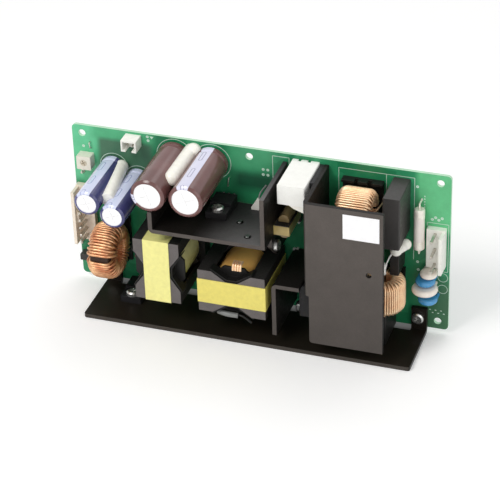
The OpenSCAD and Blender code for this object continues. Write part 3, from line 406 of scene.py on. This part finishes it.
LOOKS = {
    "green_solder_mask": solder_mask(),
    "black_sheet": base_sheet(),
    "black_anodised": anodised(),
    "zinc_steel": metal(linear(196, 196, 192), 0.3, 0.15),
    "black_epoxy": plastic(linear(30, 29, 31), 0.5, 0.35, shine=0.3),
    "tinned_metal": metal(linear(206, 202, 194), 0.34, 0.2),
    "grey_insulator": plastic(linear(40, 40, 42), 0.55, 0.2, shine=0.3),
    "white_bead": ceramic(linear(238, 236, 228), 0.3, 0.1),
    "can_aluminium": drawn_can(),
    "brown_sleeve": sleeve(linear(122, 84, 82), dark=linear(102, 66, 64), stripe=linear(222, 222, 242),
                           outline=linear(150, 150, 176), places=BROWN_PLACES, angles=(-2.85, 1.72),
                           half_width=0.36, pitch=15.0, radius=BROWN_R),
    "blue_sleeve": sleeve(linear(84, 82, 138), dark=linear(62, 64, 110), stripe=linear(212, 218, 244),
                          outline=linear(120, 126, 186), places=BLUE_PLACES, angles=(1.85, 1.78),
                          half_width=0.62, pitch=12.4, radius=BLUE_R),
    "black_rubber": plastic(linear(34, 33, 32), 0.7, 0.2, shine=0.3),
    "ferrite": ferrite(),
    "black_bobbin": plastic(linear(22, 21, 20), 0.4, 0.2, shine=0.3),
    "cream_winding_tape": tape(linear(238, 232, 166), linear(190, 164, 104), 0.4),
    "yellow_tape": tape(linear(242, 236, 150), linear(210, 200, 116)),
    "amber_winding_tape": tape(linear(255, 200, 112), linear(236, 156, 76), 0.5),
    "amber_tape": tape(linear(232, 218, 112), linear(200, 182, 84)),
    "brown_winding_tape": tape(linear(172, 148, 104), linear(112, 90, 58), 0.6),
    "coil_core_paint": plastic(linear(54, 36, 26), 0.5, 0.3, shine=0.3),
    "choke_core_paint": plastic(linear(52, 34, 24), 0.5, 0.3, shine=0.3),
    "copper_wire": copper(linear(250, 202, 152), linear(188, 118, 78)),
    "pale_copper_wire": copper(linear(255, 226, 188), linear(242, 196, 152)),
    "white_ceramic": ceramic(linear(253, 253, 248), 0.6, 0.2),
    "grey_case": plastic(linear(58, 56, 55), 0.42, 0.2, shine=0.35),
    "dark_case": plastic(linear(40, 38, 37), 0.45, 0.2, shine=0.3),
    "fuse_ceramic": ceramic(linear(252, 244, 236), 0.25, 0.05),
    "white_nylon": plastic(linear(248, 248, 240), 0.42, 0.15),
    "tan_nylon": plastic(linear(248, 236, 218), 0.45, 0.15),
    "trimmer_plastic": plastic(linear(232, 228, 214), 0.45, 0.15),
    "rotor_metal": metal(linear(212, 202, 182), 0.4, 0.3, full=0.3),
    "blue_epoxy": plastic(linear(64, 150, 206), 0.2, 0.25, coat=0.5, edge=0.1),
    "cream_epoxy": plastic(linear(250, 240, 228), 0.24, 0.25, coat=0.5, edge=0.1),
    "pink_lacquer": plastic(linear(206, 162, 150), 0.3, 0.15, coat=0.4, edge=0.1),
    "white_silicone": silicone(),
    "solder": metal(linear(206, 208, 210), 0.22, 0.25),
    "white_ink": plastic(linear(206, 230, 214), 0.6, 0.1),
    "blank_label": plastic(linear(248, 248, 250), 0.5, 0.1, vary=0.02),
    "white_ptfe": plastic(linear(244, 244, 240), 0.35, 0.1),
    "grey_sleeve": plastic(linear(122, 124, 122), 0.4, 0.1),
    "fuse_plating": metal(linear(252, 246, 234), 0.4, 0.15, full=0.25),
    "heatsink_screws": screw_plating(),
    "tan_tape": tape(linear(206, 184, 116), linear(150, 116, 66), 0.7),
}
for name, look in LOOKS.items():
    look.material.name = name

# Nodes whose look differs from the rest of their slot
OWN_LOOK = {"fuse_caps": "fuse_plating", "heatsink_screws": "heatsink_screws", "t3_tape": "tan_tape"}
slot_of = {part["node"]: part["material_slot"] for part in frame["record"]["subparts"]}
for name, obj in NODES.items():
    for slot in obj.material_slots:
        slot.material = LOOKS[OWN_LOOK.get(name, slot_of[name])].material


# ---------------------------------------------------------------- making pieces
def new_piece(name, data, look):
    """Adds an object with its material, on the supply's body. Only the record's slots are named."""
    obj = bpy.data.objects.new(name, data)
    bpy.context.scene.collection.objects.link(obj)
    obj.data.materials.append(LOOKS[look].material)
    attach(obj, BODY)
    return obj


def mesh_piece(name, verts, faces, look):
    data = bpy.data.meshes.new(name)
    data.from_pydata([tuple(v) for v in verts], [], faces)
    data.validate()
    data.update()
    return new_piece(name, data, look)


def slabs(name, outlines, out, look):
    """Thin flat pieces parallel to the board, each an outline of points on it, as one object."""
    verts, faces = [], []
    for outline in outlines:
        first, count = len(verts), len(outline)
        for depth in out:
            verts += [at(x, y, depth) for x, y in outline]
        faces.append([first + i for i in reversed(range(count))])
        faces.append([first + count + i for i in range(count)])
        for i in range(count):
            j = (i + 1) % count
            faces.append([first + i, first + j, first + count + j, first + count + i])
    return mesh_piece(name, verts, faces, look)


def rings(name, centres, r_in, r_out, out, look, steps=20):
    """Flat rings parallel to the board, as one object."""
    section = [(out[0], r_in), (out[0], r_out), (out[1], r_out), (out[1], r_in)]
    verts, faces = [], []
    for cx, cy in centres:
        first = len(verts)
        for k in range(steps):
            c, s = math.cos(2 * math.pi * k / steps), math.sin(2 * math.pi * k / steps)
            verts += [at(cx + r * c, cy + r * s, depth) for depth, r in section]
        for k in range(steps):
            a, b = first + 4 * k, first + 4 * ((k + 1) % steps)
            for i in range(4):
                j = (i + 1) % 4
                faces.append([a + i, b + i, b + j, a + j])
    return mesh_piece(name, verts, faces, look)


def wires(name, paths, radius, look, closed=False, sides=2):
    """One curve object of several round wires. Each path is a list of points in metres."""
    data = bpy.data.curves.new(name, "CURVE")
    data.dimensions = "3D"
    data.bevel_depth = radius / 1000
    data.bevel_resolution = sides
    data.use_fill_caps = not closed
    for path in paths:
        spline = data.splines.new("POLY")
        spline.points.add(len(path) - 1)
        for point, p in zip(spline.points, path):
            point.co = (*p, 1.0)
        spline.use_cyclic_u = closed
        spline.use_smooth = True
    return new_piece(name, data, look)


def rounded(corners, radius, steps=5, closed=True):
    """A line through the corners, each rounded by the radius. The ends of an open line stay."""
    corners = [Vector(c) for c in corners]
    count = len(corners)
    out = []
    for i, c in enumerate(corners):
        if not closed and i in (0, count - 1):
            out.append(c)
            continue
        before, after = corners[i - 1] - c, corners[(i + 1) % count] - c
        cut = min(radius, before.length * 0.48, after.length * 0.48)
        a, b = c + before.normalized() * cut, c + after.normalized() * cut
        for k in range(steps + 1):
            t = k / steps
            out.append(a * (1 - t) ** 2 + c * 2 * t * (1 - t) + b * t ** 2)
    return out


def leads(name, routes, look, bend, radius, sides=3):
    """Bent wires as one object. Each route is a list of places on the board."""
    paths = [rounded([at(*p) for p in route], bend / 1000, closed=False) for route in routes]
    return wires(name, paths, radius, look, sides=sides)


# ---------------------------------------------------------------- wound toroids
# The directions of angle 0 and of a quarter turn, and the axis itself
TOROID_SPANS = {"x": (Vector((0, -1, 0)), Vector((0, 0, 1)), Vector((1, 0, 0))),
                "z": (Vector((1, 0, 0)), Vector((0, -1, 0)), Vector((0, 0, 1)))}
COIL = dict(rim=12.2, hole=7.7, half=4.6, wire=1.3, turns=30)
CHOKE = dict(rim=9.55, hole=5.75, half=6.6, wire=0.95, turns=29)
# The upper layer's rise as a share of the wire's thickness, and the drawn wire as a share of its
# room, so that neighbouring turns stay apart
LAYER_RISE = 1.02
WIRE_FIT = 0.985


def wound(name, node, centre, axis, gap, look, seed, rim, hole, half, wire, turns):
    """A two layer winding of round wire: each upper turn drops between two lower ones at the rim.

    The gap is the angle left bare and half its width. Rim and hole are radii, and half is half
    the core's height.
    """
    rng = random.Random(seed)
    start, quarter, up_axis = TOROID_SPANS[axis]

    def place(radius, angle, along):
        spoke = start * math.cos(angle) + quarter * math.sin(angle)
        return centre + spoke * radius / 1000 + up_axis * along / 1000

    gap_angle, gap_half = gap
    wire_r = wire / 2
    bend = 1.5 * wire
    span = half + wire * 2
    paths = []
    for i in range(2 * turns):
        angle = math.pi * i / turns
        if abs((angle - gap_angle + math.pi) % (2 * math.pi) - math.pi) < gap_half:
            continue
        lift, twist = (wire * LAYER_RISE, 0.4) if i % 2 == 1 else (0.0, 0.2)
        lean = rng.uniform(-0.02, 0.02)
        swell = rng.uniform(-0.06, 0.1) * wire
        face = half + wire_r + lift
        upper = [(rim + wire_r, half - 0.4 * wire), (rim - bend, face + swell), (hole - wire_r - lift, face)]
        lower = [(radius, -along) for radius, along in reversed(upper)]
        corners = lower + [(rim + wire_r + max(swell, 0), 0.0)] + upper
        paths.append([place(p.x, angle + lean * p.y / span * twist, p.y) for p in rounded(corners, bend, 4)])
    obj = wires(name, paths, wire_r * WIRE_FIT, look, closed=True)
    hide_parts(node)


wound("coil_wire", "coil_turns", at(20.45, 25.3, 15), "x", gap=(0.17, 0.14),
      look="copper_wire", seed=11, **COIL)
wound("upper_choke_wire", "upper_choke_turns", at(139.95, 65.0, 12), "x", gap=(math.pi, 0.15),
      look="pale_copper_wire", seed=23, **CHOKE)
wound("lower_choke_wire", "lower_choke_turns", at(152.2, 23.9, 12), "z", gap=(-math.pi / 2, 0.15),
      look="pale_copper_wire", seed=37, **CHOKE)

# ---------------------------------------------------------------- leads and sleeves in sight
leads("jumper_wire", [[(156.9, 46.2, 13), (155.6, 44.0, 14.2), (154.0, 39.6, 14)]],
      "white_ptfe", bend=2, radius=0.35, sides=2)
leads("jumper_sleeve", [[(153.9, 40.4, 14), (153.2, 37.6, 14.2), (153.2, 34.6, 13.4)]],
      "white_ptfe", bend=1.5, radius=0.95, sides=4)
leads("upper_choke_lead", [[(147.2, 63.4, 9), (148.8, 64.6, 8), (149.6, 65.4, 3), (149.8, 65.2, 0)]],
      "pale_copper_wire", bend=1.2, radius=0.45)
leads("t2_wire_ends", [[(88.0 + 1.2 * i, 39.6, CORE_FRONT - 3.5), (88.0 + 1.2 * i, 39.4, CORE_FRONT - 0.5),
                        (88.1 + 1.15 * i, 36.8, CORE_FRONT + 0.1)] for i in range(4)],
      "pale_copper_wire", bend=1.2, radius=0.56)
leads("t2_lead_sleeve", [[(79.2, 11.0, CORE_FRONT - 3), (84.0, 11.0, CORE_FRONT - 1.6),
                          (88.8, 10.6, CORE_FRONT - 2.4)]],
      "grey_sleeve", bend=3, radius=1.25, sides=4)
leads("t2_lead", [[(88.4, 11.2, CORE_FRONT - 2.4), (91.5, 11.6, CORE_FRONT - 1.4),
                   (95.4, 8.2, CORE_FRONT - 2)]],
      "black_bobbin", bend=2, radius=0.55)
leads("thermistor_stalk", [[(92.1, 59.0, 5.4), (92.4, 61.6, 4.2), (94.1, 63.6, 0)]],
      "grey_sleeve", bend=2, radius=0.4)
SPECKS = [(109.6, 48.7), (109.6, 46.8), (107.0, 32.0), (108.7, 32.3)]
leads("speck_pins", [[(x, y, 0), (x, y, 1.2)] for x, y in SPECKS], "white_ptfe", bend=0.1, radius=0.6)

# ---------------------------------------------------------------- the blank label and the board's print
LABEL = [(140.3, 64.3), (156.8, 64.3), (156.8, 76.7), (140.3, 76.7)]
LABEL_T = 0.1
slabs("blank_label", [LABEL], (SINK_DEPTH, SINK_DEPTH + LABEL_T), "blank_label")

# The ink's back and front, and the widths of its lines and dashes
INK = (0.0, 0.03)
PRINT_W = 0.28
DASH_W = 0.5


def stroke(a, b, width=PRINT_W):
    """The outline of one straight printed line."""
    a, b = Vector(a), Vector(b)
    across = (b - a).normalized().orthogonal() * width / 2
    return [a - across, b - across, b + across, a + across]


def strokes(points):
    return [stroke(a, b) for a, b in zip(points, points[1:])]


def dashes(starts, along, up=0.0):
    """Plain dashes where the board has lettering, all of the same length and direction."""
    return [stroke((x, y), (x + along, y + up), DASH_W) for x, y in starts]


ink = strokes([(128.4, 66.0), (128.4, 78.4), (163.3, 78.4), (163.3, 35.8)])
ink += strokes([(169.4, 31.4), (169.4, 56.6), (179.2, 56.6), (179.2, 31.4), (169.4, 31.4)])
ink += strokes([(150.4, 66), (150.4, 78.4)])
ink += dashes([(165.6 + 1.1 * i, 14.2) for i in range(6)], 0.6)
ink += dashes([(171.0 + 1.3 * i, 9.9 - 1.5 * (i % 2)) for i in range(6)], 0.8)
ink += dashes([(168.0, 61.0 + 1.4 * i) for i in range(7)], 0.0, 0.7)
ink += strokes([(97.4, 66.0), (97.4, 79.6), (105.2, 79.6), (105.2, 66.0)])
ink += [[(38.4, 80.6), (40.4, 80.6), (39.4, 79.2)]]
slabs("board_print_lines", ink, INK, "white_ink")

rings("board_print_circles", [(177.0, 21.9), (177.0, 28.2)], 2.15, 2.4, INK, "white_ink", 32)
for colour, centres, can_r in (("brown", BROWN_PLACES, BROWN_R), ("blue", BLUE_PLACES, BLUE_R)):
    rings(f"{colour}_cap_circles", centres, can_r + 0.75, can_r + 1.05, INK, "white_ink", 48)

PADS = [(171.6 + 1.5 * i, 58.4 + 1.1 * (i % 2)) for i in range(4)]
PADS += [(92.8 + 2.2 * i, 69.0 + 2.7 * k) for i in range(2) for k in range(2)]
PADS += [(164.6, 74.2), (165.2, 34.8), (165.6, 30.6), (37.3, 80.2), (37.6, 78.2), (5.2, 70.6), (42.6, 60.5)]
rings("board_pads", PADS, 0.15, 0.7, INK, "white_ink")
leads("board_links", [[(76.0, 60.6, 0), (76.0, 60.8, 1.5), (76.5, 64.8, 1.5), (76.5, 65.0, 0)],
                      [(9.0, 70.4, 0), (9.0, 70.5, 1.2), (8.6, 73.2, 1.2), (8.6, 73.3, 0)]],
      "tinned_metal", bend=0.5, radius=0.3, sides=2)

# ---------------------------------------------------------------- camera
CAMERA_AT = (0.26979, -0.76589, 0.56259)
AZIMUTH = math.radians(19.33)
ELEVATION = math.radians(32.72)
ROLL = math.radians(-1.92)
scene = bpy.context.scene
back = Vector((math.sin(AZIMUTH) * math.cos(ELEVATION), -math.cos(AZIMUTH) * math.cos(ELEVATION),
               math.sin(ELEVATION)))
right = Vector((math.cos(AZIMUTH), math.sin(AZIMUTH), 0))
up = back.cross(right)
side = right * math.cos(ROLL) + up * math.sin(ROLL)
top = up * math.cos(ROLL) - right * math.sin(ROLL)
camera = bpy.data.objects.new("camera", bpy.data.cameras.new("camera"))
scene.collection.objects.link(camera)
camera.data.sensor_width = 36.0
camera.data.lens = 152.94
camera.data.clip_start = 0.01
camera.data.clip_end = 20.0
camera.matrix_world = Matrix((side, top, back)).transposed().to_4x4()
camera.location = CAMERA_AT
scene.camera = camera
scene.view_settings.view_transform = "Standard"


# ---------------------------------------------------------------- light and ground
def seen_directly(tree):
    """1 on the rays that show the background: from the camera, through glass or off a glossy face."""
    rays = tree.nodes.new("ShaderNodeLightPath").outputs
    seen = rays["Is Camera Ray"]
    for kind in ("Is Transmission Ray", "Is Glossy Ray"):
        either = tree.nodes.new("ShaderNodeMath")
        either.operation = "MAXIMUM"
        tree.links.new(seen, either.inputs[0])
        tree.links.new(rays[kind], either.inputs[1])
        seen = either.outputs[0]
    return seen


def make_world():
    """White where it is seen, weaker where it only lights the object."""
    scene.world = bpy.data.worlds.new("studio")
    scene.world.use_nodes = True
    tree = scene.world.node_tree
    shown = tree.nodes["Background"]
    soft = tree.nodes.new("ShaderNodeBackground")
    for background, strength in ((shown, 1.0), (soft, 0.55)):
        background.inputs["Color"].default_value = (1, 1, 1, 1)
        background.inputs["Strength"].default_value = strength
    blend = tree.nodes.new("ShaderNodeMixShader")
    tree.links.new(seen_directly(tree), blend.inputs[0])
    tree.links.new(soft.outputs[0], blend.inputs[1])
    tree.links.new(shown.outputs[0], blend.inputs[2])
    tree.links.new(blend.outputs[0], tree.nodes["World Output"].inputs["Surface"])


def area_light(name, where, aim, size, power, colour=(1, 1, 1)):
    data = bpy.data.lights.new(name, "AREA")
    data.shape = "DISK"
    data.size = size
    data.energy = power
    data.color = colour
    obj = bpy.data.objects.new(name, data)
    scene.collection.objects.link(obj)
    obj.location = where
    obj.rotation_mode = "QUATERNION"
    obj.rotation_quaternion = (Vector(aim) - Vector(where)).to_track_quat("-Z", "Y")


FLOOR_COLOUR = (0.93, 0.93, 0.93, 1)
FLOOR_SHADE = (0.2, 0.2, 0.2, 1)
FLOOR_GLOW = 0.16
FLOOR_SIZE = 6.0
FLOOR_DROP = 0.0002
# The painted shadow on the floor under the board, behind the plate: from and to, along the board and out of
# it
SHADED_X = (14, 169)
SHADED_OUT = (6, -5)


def ground():
    """A white floor with a weak glow where it is seen, and a painted shadow under the board, behind the
    plate: darker there and without the glow.
    """
    m = Mat(FLOOR_COLOUR, 0.8)
    under = m.times(m.between(m.place("X"), *map(at_x, SHADED_X), 0.001),
                    m.between(m.place("Y"), *map(at_y, SHADED_OUT), 0.001))
    # Painted shadow: the floor under the board takes the shade colour and loses its glow.
    m.base(m.mix(under, FLOOR_COLOUR, FLOOR_SHADE))
    level = m.times(seen_directly(m.tree), m.ramp(under, 0.0, 1.0, FLOOR_GLOW, 0.0))
    glow = m.put("ShaderNodeEmission", {"Strength": level}).outputs[0]
    total = m.put("ShaderNodeAddShader", {0: m.bsdf.outputs[0], 1: glow}).outputs[0]
    m.tree.links.new(total, m.nodes["Material Output"].inputs["Surface"])
    m.material.name = "ground"
    return m.material


make_world()
area_light("key", (-0.45, -0.75, 1.0), (0, 0, 0.03), 0.55, 7.2, (1.0, 0.985, 0.96))
area_light("fill", (0.8, -0.8, 0.5), (0, 0, 0.03), 0.8, 2.1)
area_light("rim", (0.1, 0.6, 0.9), (0, 0, 0.05), 0.7, 1.4)

bpy.ops.mesh.primitive_plane_add(size=FLOOR_SIZE, location=(0, 0, -FLOOR_DROP))
floor = bpy.context.object
floor.name = "floor"
floor.data.materials.append(ground())
